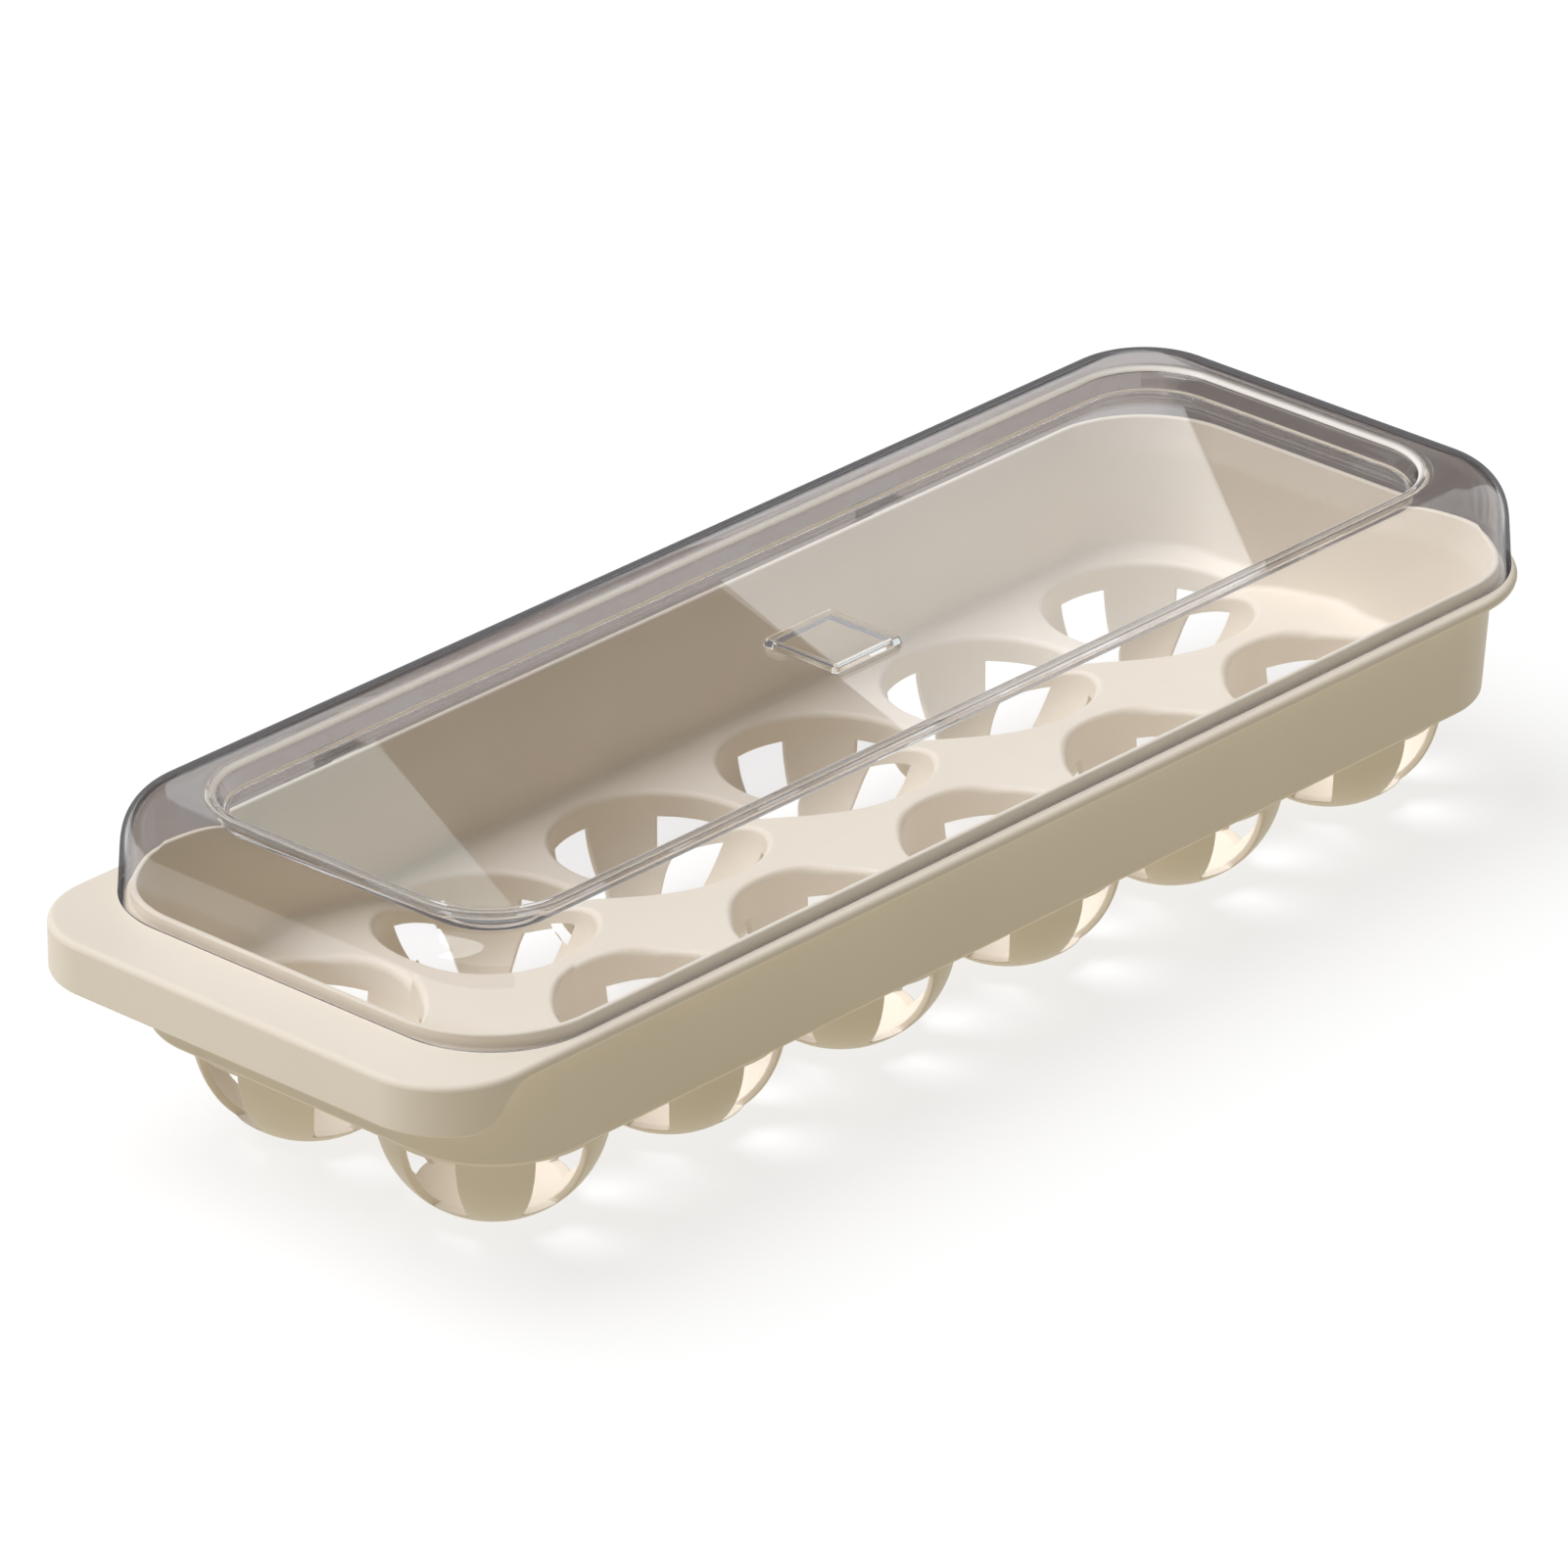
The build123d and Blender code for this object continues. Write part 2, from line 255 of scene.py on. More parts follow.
# The flange's underside, from the wall out: along to the skirt's root, down its inner face, round its foot
# and up its outer face.  Each row is a flat inset, a folded inset, a lift share and a drop.
underside_rows = [
    (3.6, 3.0, 1, 0),
    (3.2, 2.3, 1, 0.2),
    (2.8, flange_thickness, 1, 1.0),
    (2.2, flange_thickness, 0, -skirt_foot),
    (1.8, flange_thickness - 0.15, 0, -0.15),
    (1.5, flange_thickness - skirt_foot, 0, 0),
    (skirt_foot, skirt_foot, 0, 0),
    (0.15, 0.15, 0, -0.15),
]
side_foot = skirt_loop(0, 0, 0, 0)
side_foot[:, 2] += skirt_foot
shell_loops = [core_ring(deck_corner, deck_under)]
shell_loops += [core_ring(r, z) for r, z in wall_outside]
shell_loops += [skirt_loop(*row) for row in underside_rows]
shell_loops += [side_foot]
shell_loops += [flange_ring(inset, z) for inset, z in edge_turn]
shell_loops += [core_ring(r, z) for r, z in rim_and_inside]
shell_loops += [core_ring(deck_corner, deck_top)]
tray = loft("tray_wall_and_handle", shell_loops, True)
tray.data.set_sharp_from_angle(angle=np.radians(50))
tray.data.materials.append(cream)
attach(tray, "tray")
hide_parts("tray_shell")

# ---- Egg cups ------------------------------------------------------------------------------
# Twelve ball-shaped cups hang from the tray's deck, each in its own square of it, moulded with the
# shell.  Five windows in each let cold air round the egg, and a flat foot stands on the shelf.
cup_names = [f"egg_cup_{number:02d}" for number in range(1, 13)]
pitch = (first_cup_high.x - first_cup_low.x) / mm
cup_radius, cup_wall = 23.3, 1.6
cup_bore = cup_radius - cup_wall
cup_centre = cup_radius - 1.0
mouth_rounding = valley_rounding = 1.4
window_count, window_columns, rib_columns = 5, 16, 20
foot_rows, window_rows = 6, 12
sill_z = cup_centre - cup_radius * np.sin(np.radians(48))
head_z = deck_under - 4.0


def latitude(radius, z):
    """The latitude in degrees at which a ball about the cup's centre has height z."""
    return np.degrees(np.arcsin((z - cup_centre) / radius))


def ball_profile(radius, flare, turn_z, foot_z):
    """Section (r, z) of a ball up from its flat foot, then the flare that turns it out flat.  Rows fall
    exactly on the windows' sill, after foot_rows, and on their head, window_rows further up."""
    low, sill, head = latitude(radius, foot_z), latitude(radius, sill_z), latitude(radius, head_z)
    under = turn(0, cup_centre, radius, low, sill, foot_rows)
    beside = turn(0, cup_centre, radius, sill, head, window_rows)[1:]
    above = turn(0, cup_centre, radius, head, 0, 2)[1:]
    return np.concatenate([under, beside, above, turn(radius + flare, turn_z, flare, 180, 90, 6)])


def cup_mesh(name, row, column):
    """One cup as a closed shell.  Each surface is its section turned about the cup's axis.  The outer one
    runs from the foot's centre to the tile's underside and the inner one back down from the deck, and the
    window cells are left out of both and walled round by quads between them."""
    middle = np.array([(column + 0.5) * pitch - field_x, (row + 0.5) * pitch - field_y])
    # A rib points at one corner of the tile, and the pattern is mirrored from each cup to the next.
    rib_angle = (-135 if column % 2 == 0 else -45) * (1 if row == 0 else -1)
    outer = ball_profile(cup_radius, valley_rounding, deck_under - valley_rounding, 0.0)
    inner = ball_profile(cup_bore, mouth_rounding, deck_top - mouth_rounding, cup_wall)
    columns = window_count * (window_columns + rib_columns)
    step = 360 / columns
    angle = np.radians(rib_angle - rib_columns / 2 * step + step * np.arange(columns))
    aim = np.stack([np.cos(angle), np.sin(angle)], 1)
    # The tile's edge is along each column's direction to the square, and the nearest column takes a corner.
    half = pitch / 2
    edge = aim * half / np.abs(aim).max(1)[:, None]
    for sign_x in (-1, 1):
        for sign_y in (-1, 1):
            tip = np.array([sign_x * half, sign_y * half])
            edge[np.argmax(aim @ tip)] = tip
    placed = edge + middle
    core = np.clip(placed, (-core_x, -core_y), (core_x, core_y))
    beyond = placed - core
    reach = np.linalg.norm(beyond, axis=1)
    outside = reach > deck_corner
    placed[outside] = core[outside] + beyond[outside] * (deck_corner / reach[outside])[:, None]
    rows = [np.column_stack([middle + aim * r, np.full(columns, z)]) for r, z in outer]
    outer_rows = len(rows)
    rows += [np.column_stack([placed, np.full(columns, z)]) for z in (deck_under, deck_top)]
    rows += [np.column_stack([middle + aim * r, np.full(columns, z)]) for r, z in inner[::-1]]
    points = np.concatenate(rows)
    total = len(rows)
    grid = np.arange(total * columns).reshape(total, columns)
    cell_row, cell_column = np.meshgrid(np.arange(total - 1), np.arange(columns), indexing="ij")
    ahead = (cell_column + 1) % columns
    corners = ((cell_row, cell_column), (cell_row, ahead), (cell_row + 1, ahead), (cell_row + 1, cell_column))
    quads = np.stack([grid[corner_row, corner_column] for corner_row, corner_column in corners], -1)
    sill_row, head_row = foot_rows, foot_rows + window_rows
    in_window = cell_column % (window_columns + rib_columns) >= rib_columns
    last = total - 1
    open_cell = in_window & (
        ((cell_row >= sill_row) & (cell_row < head_row))
        | ((cell_row >= last - head_row) & (cell_row < last - sill_row))
    )
    # Each window's sill, head, left side and right side, from the outer ball to the inner one.
    walls = []
    for k in range(window_count):
        left = k * (window_columns + rib_columns) + rib_columns
        right = (left + window_columns) % columns
        across = (left + np.arange(window_columns + 1)) % columns
        up = np.arange(sill_row, head_row + 1)
        for here, there in ((grid[sill_row, across], grid[last - sill_row, across]),
                            (grid[head_row, across[::-1]], grid[last - head_row, across[::-1]]),
                            (grid[up[::-1], left], grid[last - up[::-1], left]),
                            (grid[up, right], grid[last - up, right])):
            walls.append(np.stack([here[:-1], there[:-1], there[1:], here[1:]], 1)[:, ::-1])
    walls = np.concatenate(walls)
    faces = quads[~open_cell].tolist() + walls.tolist()
    faces += [grid[0][::-1].tolist(), grid[-1].tolist()]
    mesh = bpy.data.meshes.new(name)
    mesh.from_pydata(((points + (centre_x, centre_y, 0)) * mm).tolist(), [], faces)
    # Only the windows' corners, where a wall quad meets a ball, are rounded by the bevel.
    pairs = np.sort(np.concatenate([walls[:, (0, 3)], walls[:, (1, 2)]]), 1)
    window_edges = {tuple(pair) for pair in pairs.tolist()}
    ends = np.zeros(len(mesh.edges) * 2, np.int32)
    mesh.edges.foreach_get("vertices", ends)
    ends = np.sort(ends.reshape(-1, 2), 1)
    weight = np.array([tuple(pair) in window_edges for pair in ends.tolist()], np.float32)
    mesh.attributes.new("bevel_weight_edge", "FLOAT", "EDGE").data.foreach_set("value", weight)
    # The tile's edge is where the moulding was cut into pieces, so nothing is rounded or shaded there.
    edge_row = ends // columns
    cut = (edge_row[:, 0] == edge_row[:, 1]) & np.isin(edge_row[:, 0], (outer_rows, outer_rows + 1))
    mesh.attributes.new("sharp_edge", "BOOLEAN", "EDGE").data.foreach_set("value", cut)
    return mesh


for row in range(2):
    for column in range(6):
        node = cup_names[row * 6 + column]
        cup = finished(node.replace("egg_cup", "cup_ball"), cup_mesh(node, row, column))
        soften = cup.modifiers.new("softened window corners", "BEVEL")
        soften.limit_method = "WEIGHT"
        soften.width = 0.35 * mm
        soften.segments = 2
        cup.modifiers.move(1, 0)
        cup.data.materials.append(cream)
        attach(cup, "tray")
        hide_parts(node)

# ---- Hinge knuckles ------------------------------------------------------------------------
# Two pairs of knuckles under the far edge of the flange, moulded with the tray in the same cream
# polypropylene.  Each is a barrel on a gusset that runs down to the wall, bored for the pin.
joint = next(j for j in frame["joints"] if j["name"] == "lid_hinge")
axis_y, axis_z = joint["pos_m"][1] / mm - centre_y, joint["pos_m"][2] / mm
barrel_radius, pin_radius = 2.4, 1.1
knuckle_width, gusset_drop = 6.0, 4.0
ear_width, ear_side_gap = 10.0, 0.3
press_room, turning_room = 0.02, 0.05
pin_half = ear_width / 2 + ear_side_gap + knuckle_width
knuckle_offset = pin_half - knuckle_width / 2
hinge_places = {}
for side in ("left", "right"):
    pin_low, pin_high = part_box(f"hinge_pin_{side}")
    hinge_places[side] = (pin_low.x + pin_high.x) / 2 / mm - centre_x


def extruded(name, outline, bore_radius, spans):
    """Blocks with one outline in (y, z), each between two x of spans, bored along the hinge's axis.  The end
    faces are the outline with the bore's circle cut out, and quads join each edge of one end to the other."""
    turns = np.radians(np.arange(0, -360, -10))
    bore = np.stack([axis_y + bore_radius * np.cos(turns), axis_z + bore_radius * np.sin(turns)], 1)
    loops = [np.array(outline)] + ([bore] if bore_radius else [])
    flat = np.concatenate(loops)
    caps = tessellate_polygon([[Vector((y, z, 0)) for y, z in loop] for loop in loops])
    count = len(flat)
    starts = np.cumsum([0] + [len(loop) for loop in loops])
    points, faces = [], []
    for low, high in spans:
        first = len(points) * count
        points += [np.insert(flat, 0, low, axis=1), np.insert(flat, 0, high, axis=1)]
        faces += [[first + v for v in cap] for cap in caps]
        faces += [[first + count + v for v in cap[::-1]] for cap in caps]
        for start, stop in zip(starts[:-1], starts[1:]):
            here = np.arange(start, stop)
            ahead = np.roll(here, -1)
            faces += (first + np.stack([here, here + count, ahead + count, ahead], 1)).tolist()
    mesh = bpy.data.meshes.new(name)
    mesh.from_pydata(((np.concatenate(points) + (centre_x, centre_y, 0)) * mm).tolist(), [], faces)
    shape = bmesh.new()
    shape.from_mesh(mesh)
    bmesh.ops.recalc_face_normals(shape, faces=shape.faces)
    shape.to_mesh(mesh)
    shape.free()
    return finished(name, mesh)


def soften_edges(piece, width):
    """Round every corner of a piece that is sharper than 40 degrees."""
    soften = piece.modifiers.new("softened edges", "BEVEL")
    soften.width = width * mm
    soften.segments = 2
    soften.limit_method = "ANGLE"
    soften.angle_limit = np.radians(40)
    piece.modifiers.move(1, 0)


def around_axis(radius, start, end, steps):
    """Points (y, z) on an arc about the hinge's axis."""
    return turn(axis_y, axis_z, radius, start, end, steps)


gusset_low = axis_z - barrel_radius - gusset_drop
wall_at = core_y + wall_foot + (gusset_low - deck_under) * wall_lean
underside_turn = 180 - np.degrees(np.arcsin((flange_under - axis_z) / barrel_radius))
knuckle_outline = np.concatenate([
    around_axis(barrel_radius, -90, underside_turn, 30),
    [(core_y + wall_root, flange_under), (wall_at, gusset_low)],
])
for side, x in hinge_places.items():
    middles = (x - knuckle_offset, x + knuckle_offset)
    spans = [(middle - knuckle_width / 2, middle + knuckle_width / 2) for middle in middles]
    knuckles = extruded(f"knuckle_pair_{side}", knuckle_outline, pin_radius + press_room, spans)
    soften_edges(knuckles, 0.25)
    knuckles.data.materials.append(cream)
    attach(knuckles, "tray")
    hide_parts(f"hinge_knuckles_{side}")

# ---- Hinge pins ----------------------------------------------------------------------------
# Drawn stainless wire, cut to length and lightly domed at the ends, pressed through both knuckles of a
# pair.  The lid's ear turns on the middle of it.


def drawn_wire():
    """Drawn stainless steel: fine lines along the wire from the die, as noise stretched along X."""
    made = bpy.data.materials.new("drawn_stainless_wire")
    made.use_nodes = True
    nodes, links = made.node_tree.nodes, made.node_tree.links
    steel = nodes["Principled BSDF"]
    steel.inputs["Metallic"].default_value = 1
    steel.inputs["Base Color"].default_value = (0.62, 0.62, 0.63, 1)
    place = nodes.new("ShaderNodeTexCoord")
    stretch = nodes.new("ShaderNodeMapping")
    stretch.inputs["Scale"].default_value = (60, 4000, 4000)
    lines = nodes.new("ShaderNodeTexNoise")
    lines.inputs["Scale"].default_value = 1
    gloss = nodes.new("ShaderNodeMapRange")
    gloss.inputs["To Min"].default_value = 0.2
    gloss.inputs["To Max"].default_value = 0.42
    links.new(place.outputs["Object"], stretch.inputs["Vector"])
    links.new(stretch.outputs["Vector"], lines.inputs["Vector"])
    links.new(lines.outputs["Fac"], gloss.inputs["Value"])
    links.new(gloss.outputs["Result"], steel.inputs["Roughness"])
    return made


wire = drawn_wire()
dome_radius = 0.35
pin_dome = turn(pin_radius - dome_radius, 0, dome_radius, 0, 80, 4)
for side, x in hinge_places.items():
    heading = np.radians(np.arange(0, 360, 10))
    circle = np.stack([np.zeros(36), np.cos(heading), np.sin(heading)], 1)
    ends = [(x - pin_half + dome_radius - rise, radius) for radius, rise in pin_dome[::-1]]
    ends += [(x + pin_half - dome_radius + rise, radius) for radius, rise in pin_dome]
    pin = loft(f"pin_wire_{side}", [circle * radius + (at, axis_y, axis_z) for at, radius in ends], False)
    pin.data.materials.append(wire)
    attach(pin, "tray")
    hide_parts(f"hinge_pin_{side}")

# ---- Lid -----------------------------------------------------------------------------------
# A clear polystyrene lid, pressed out as one shell of even thickness.  Its walls lean in to a broad
# rounded shoulder, its middle is sunk inside a raised border, and a square boss stands in the centre.
# At the far side two ears reach over the flange to the pins, each with a heel that stops the lid open.
lid_low, lid_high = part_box("lid")
lid_top = lid_high.z / mm
lid_x = (lid_high.x - lid_low.x) / mm / 2
lid_y = centre_y - lid_low.y / mm
lid_foot = flange_top + 0.1
lid_corner = 23.3
lid_core_x, lid_core_y = lid_x - lid_corner, lid_y - lid_corner
lid_wall = 1.2
lid_lean = np.tan(np.radians(3.7))
shoulder_radius = 10.7
recess_margin, recess_corner, recess_depth = 7.25, 17.75, 4.4
recess_angle = np.radians(27.0)
recess_core_x = field_x - recess_margin - recess_corner
recess_core_y = field_y - recess_margin - recess_corner
panel_top = lid_top - recess_depth
boss_half, boss_height, boss_corner, boss_rounding = 10.0, 1.5, 0.9, 0.25
boss_lean = np.tan(np.radians(15.0))


def lid_ring(core, r, z):
    """A loop at distance r outside a core rectangle given by its two half-sizes."""
    return ring(-core[0] - r, core[0] + r, core[1] + r, r, r, z, (0.5,))


def eased_shoulder(inset, easing=0.3, steps=24):
    """Points (r, z) of the shoulder, from the wall to the top.  Its bend grows evenly from nothing over the
    share easing of its length, then stays at 1 / radius.  The running sum of the bend is the heading, and
    the running sum of the heading is the curve.  Each point then moves in by inset along its own normal."""
    wall_heading = np.array([-lid_lean, 1]) / np.hypot(lid_lean, 1)
    turning = np.pi / 2 - np.arctan(lid_lean)
    share = (np.arange(steps * 10) + 0.5) / (steps * 10)
    bend = np.clip(share / easing, 0, 1)
    angle = np.cumsum(bend) / bend.sum() * turning
    length = turning * shoulder_radius / bend.mean()
    sideways = np.array([-wall_heading[1], wall_heading[0]])
    heading = np.cos(angle)[:, None] * wall_heading + np.sin(angle)[:, None] * sideways
    curve = np.cumsum(np.concatenate([[[0, 0]], heading * length / len(share)]), 0)
    run_up = np.linalg.solve(np.stack([wall_heading, (-1, 0)], 1), curve[-1])[0]
    edge = np.array([lid_corner - (lid_top - lid_foot) * lid_lean, lid_top])
    normal = np.stack([heading[:, 1], -heading[:, 0]], 1)
    normal = np.concatenate([normal[:1], normal])
    return (edge - wall_heading * run_up + curve - normal * inset)[::10]


def lid_skin(inset, top_rounding, floor_rounding, boss_core, boss_foot_r, boss_crown_r):
    """One skin of the lid, from its foot to its middle.  Inset draws it in along its own normals, so that
    the plastic between the outer and the inner skin is even.  Each part is carried round its own core."""
    top_z, panel_z = lid_top - inset, panel_top - inset
    seat_heights = (rim_top - 1.4, rim_top - 0.4)
    seat = [(lid_corner - inset - (z - lid_foot) * lid_lean, z) for z in seat_heights]
    side = np.concatenate([seat, eased_shoulder(inset)])
    edge_r = recess_corner + inset * (1 / np.cos(recess_angle) - np.tan(recess_angle))
    floor_r = edge_r - recess_depth * np.tan(recess_angle)
    edge = corner((edge_r + 5, top_z), (edge_r, top_z), (floor_r, panel_z), top_rounding, 8)
    floor = corner((edge_r, top_z), (floor_r, panel_z), (0, panel_z), floor_rounding, 8)
    boss_z = panel_z + boss_height
    boss_foot_at, boss_crown_at = (boss_foot_r, panel_z), (boss_crown_r, boss_z)
    base = corner((boss_foot_r + 5, panel_z), boss_foot_at, boss_crown_at, boss_rounding, 3)
    crown = corner(boss_foot_at, boss_crown_at, (boss_crown_r - 5, boss_z), boss_rounding, 3)
    parts = [
        ((lid_core_x, lid_core_y), side),
        ((recess_core_x, recess_core_y), np.concatenate([edge, floor])),
        ((boss_core, boss_core), np.concatenate([base, crown])),
    ]
    return [lid_ring(core, r, z) for core, section in parts for r, z in section]


boss_crown = boss_corner - boss_height * boss_lean
outer_skin = lid_skin(
    inset=0.0, top_rounding=2.0, floor_rounding=1.4,
    boss_core=boss_half - boss_corner, boss_foot_r=boss_corner, boss_crown_r=boss_crown,
)
boss_bore_half, bore_corner = boss_half - lid_wall - boss_height * boss_lean, 0.6
inner_skin = lid_skin(
    inset=lid_wall, top_rounding=3.2, floor_rounding=0.4,
    boss_core=boss_bore_half - bore_corner, boss_foot_r=bore_corner, boss_crown_r=bore_corner - 0.05,
)
foot_rounding = 0.35
foot_inside, foot_outside = (lid_corner - lid_wall, lid_foot), (lid_corner, lid_foot)
foot_section = np.concatenate([
    corner((lid_corner - lid_wall, lid_top), foot_inside, foot_outside, foot_rounding, 3),
    corner(foot_inside, foot_outside, (lid_corner, lid_top), foot_rounding, 3),
])
foot_loops = [lid_ring((lid_core_x, lid_core_y), r, z) for r, z in foot_section]
lid_shell = loft("lid_shell", inner_skin[::-1] + foot_loops + outer_skin, False)

# The ears' outline, in order: under the bridge, down the leg to the barrel, round it to the heel, round the
# heel, up the barrel's far side to the leg, and back along the bridge's rounded top to the wall.
ear_thickness, ear_flange_gap, bridge_rounding = 2.2, 0.4, 1.1
leg_y = flange_y + ear_flange_gap
bridge_z = flange_top + ear_flange_gap
heel_half, heel_length, heel_stop_gap = 1.0, 5.6, 0.15
heel_reach = np.hypot(heel_length, heel_half)
heel_rise = flange_under - axis_z - heel_stop_gap
heel_slope = np.arcsin(heel_rise / heel_reach) - np.arcsin(heel_half / heel_reach)
heel_turn = 180 - np.degrees(heel_slope) + joint["range_deg"][1]
heel_along = np.array([np.cos(np.radians(heel_turn)), np.sin(np.radians(heel_turn))])
heel_across = np.array([-heel_along[1], heel_along[0]]) * heel_half
heel_end = np.array([axis_y, axis_z]) + heel_along * heel_length
heel_bite = np.degrees(np.arcsin(heel_half / barrel_radius))
leg_outer = leg_y + ear_thickness
leg_meets = np.degrees(np.arccos((leg_outer - axis_y) / barrel_radius))
bridge_top = bridge_z + ear_thickness
wall_middle = lid_y - lid_wall / 2
ear_outline = np.concatenate([
    [(wall_middle, bridge_z), (leg_y, bridge_z)],
    around_axis(barrel_radius, 180, heel_turn - heel_bite, 12),
    [heel_end - heel_across, heel_end + heel_across],
    around_axis(barrel_radius, heel_turn + heel_bite, 360 + leg_meets, 24),
    corner((leg_outer, axis_z), (leg_outer, bridge_top), (wall_middle, bridge_top), bridge_rounding, 5),
    [(wall_middle, bridge_top)],
])
ear_spans = [(x - ear_width / 2, x + ear_width / 2) for x in hinge_places.values()]
ears = extruded("ears", ear_outline, pin_radius + turning_room, ear_spans)
joined = lid_shell.modifiers.new("ears moulded on", "BOOLEAN")
joined.operation = "UNION"
joined.solver = "EXACT"
joined.object = ears
lid_shell.modifiers.move(1, 0)
lid_shell.modifiers["flat faces stay flat"].show_viewport = False
lid_mesh = bpy.data.meshes.new_from_object(lid_shell.evaluated_get(bpy.context.evaluated_depsgraph_get()))
bpy.data.objects.remove(ears)
bpy.data.objects.remove(lid_shell)
lid_mesh.name = "lid_clear_shell"
lid_mesh.set_sharp_from_angle(angle=np.radians(40))
lid = finished("lid_clear_shell", lid_mesh)


def clear_polystyrene():
    """Clear polystyrene, nearly colourless, with painted shade.  The base colour darkens where the surface
    turns edge-on and with each further wall that is seen through the first, times a shade value the mesh
    keeps.  The recess's moulded edge carries a painted highlight, and seat_shade is painted shade where the
    foot stands close round the rim.  Lamps and soft light pass straight through, and faint wiping marks lie
    in the polish."""
    made = bpy.data.materials.new("clear_polystyrene")
    made.use_nodes = True
    nodes, links = made.node_tree.nodes, made.node_tree.links

    def of_mesh(name):
        """The value that the mesh keeps under a name."""
        node = nodes.new("ShaderNodeAttribute")
        node.attribute_name = name
        return node.outputs["Fac"]

    def ranged(value, start, end, most, interpolation="LINEAR"):
        """0 while the value is below start, most when it is past end, and between the two on the way."""
        node = nodes.new("ShaderNodeMapRange")
        node.interpolation_type = interpolation
        node.inputs["From Min"].default_value = start
        node.inputs["From Max"].default_value = end
        node.inputs["To Max"].default_value = most
        links.new(value, node.inputs["Value"])
        return node.outputs["Result"]

    def combined(operation, first, second):
        """Two values multiplied, or the larger of them."""
        node = nodes.new("ShaderNodeMath")
        node.operation = operation
        links.new(first, node.inputs[0])
        links.new(second, node.inputs[1])
        return node.outputs[0]

    def coloured(kind, red, green, blue):
        """A plain shader of one kind and colour."""
        node = nodes.new(kind)
        node.inputs["Color"].default_value = (red, green, blue, 1)
        return node.outputs["BSDF"]

    def mixed(share, first, second):
        """The first shader where the share is 0, and the second where it is 1."""
        node = nodes.new("ShaderNodeMixShader")
        links.new(share, node.inputs["Fac"])
        links.new(first, node.inputs[1])
        links.new(second, node.inputs[2])
        return node.outputs["Shader"]

    rays = nodes.new("ShaderNodeLightPath").outputs
    turned = nodes.new("ShaderNodeLayerWeight").outputs["Facing"]
    # Painted shade: the base colour darkens where the surface turns edge-on and where a further wall is seen
    # through, standing in for dark surroundings seen in the plastic.
    painted_shade = of_mesh("painted_shade")
    edge_on = ranged(turned, 0.45, 0.95, 1, "SMOOTHSTEP")
    further_walls = ranged(rays["Transmission Depth"], 1, 2, 0.78)
    depth = combined("MULTIPLY", combined("MAXIMUM", edge_on, further_walls), painted_shade)
    painted_shade_ramp = nodes.new("ShaderNodeValToRGB")
    painted_shade_ramp.color_ramp.elements[0].color = (0.975, 0.97, 0.972, 1)
    painted_shade_ramp.color_ramp.elements[1].color = (0.09, 0.08, 0.078, 1)
    painted_shade_ramp.color_ramp.elements.new(0.6).color = (0.44, 0.385, 0.365, 1)
    links.new(combined("MAXIMUM", depth, of_mesh("seat_shade")), painted_shade_ramp.inputs["Fac"])

    wiped = nodes.new("ShaderNodeTexNoise")
    wiped.inputs["Scale"].default_value = 30
    wiped.inputs["Detail"].default_value = 4
    links.new(nodes.new("ShaderNodeTexCoord").outputs["Object"], wiped.inputs["Vector"])
    plastic = nodes["Principled BSDF"]
    plastic.inputs["Transmission Weight"].default_value = 1
    plastic.inputs["IOR"].default_value = 1.5
    links.new(painted_shade_ramp.outputs["Color"], plastic.inputs["Base Color"])
    links.new(ranged(wiped.outputs["Fac"], 0.45, 0.75, 0.02), plastic.inputs["Roughness"])

    # Painted shade: a grey see-through line where the outline turns right away.  Then a painted highlight, a
    # diffuse and translucent glow, on the recess's edge.
    outline = combined("MULTIPLY", ranged(turned, 0.62, 0.76, 0.95, "SMOOTHSTEP"), painted_shade)
    body = mixed(outline, plastic.outputs["BSDF"], coloured("ShaderNodeBsdfTransparent", 0.36, 0.36, 0.37))
    painted_edge_glow = nodes.new("ShaderNodeAddShader")
    links.new(coloured("ShaderNodeBsdfDiffuse", 0.90, 0.87, 0.83), painted_edge_glow.inputs[0])
    links.new(coloured("ShaderNodeBsdfTranslucent", 0.2, 0.19, 0.18), painted_edge_glow.inputs[1])
    body = mixed(of_mesh("painted_edge_highlight"), body, painted_edge_glow.outputs["Shader"])

    # Shadow and soft light go through unbent, and so does a ray that has been thrown back inside three times.
    trapped = nodes.new("ShaderNodeMath")
    trapped.operation = "GREATER_THAN"
    trapped.inputs[1].default_value = 2.5
    links.new(rays["Glossy Depth"], trapped.inputs[0])
    soft = combined("MAXIMUM", rays["Is Shadow Ray"], rays["Is Diffuse Ray"])
    let_out = combined("MAXIMUM", soft, trapped.outputs[0])
    whole = mixed(let_out, body, coloured("ShaderNodeBsdfTransparent", 0.99, 0.99, 0.99))
    links.new(whole, nodes["Material Output"].inputs["Surface"])
    return made


where = np.zeros(len(lid_mesh.vertices) * 3, np.float32)
lid_mesh.vertices.foreach_get("co", where)
where = where.reshape(-1, 3) / mm - (centre_x, centre_y, 0)
beside = np.abs(where[:, :2]) - (recess_core_x, recess_core_y)
outside = np.hypot(np.maximum(beside[:, 0], 0), np.maximum(beside[:, 1], 0))
height = where[:, 2]

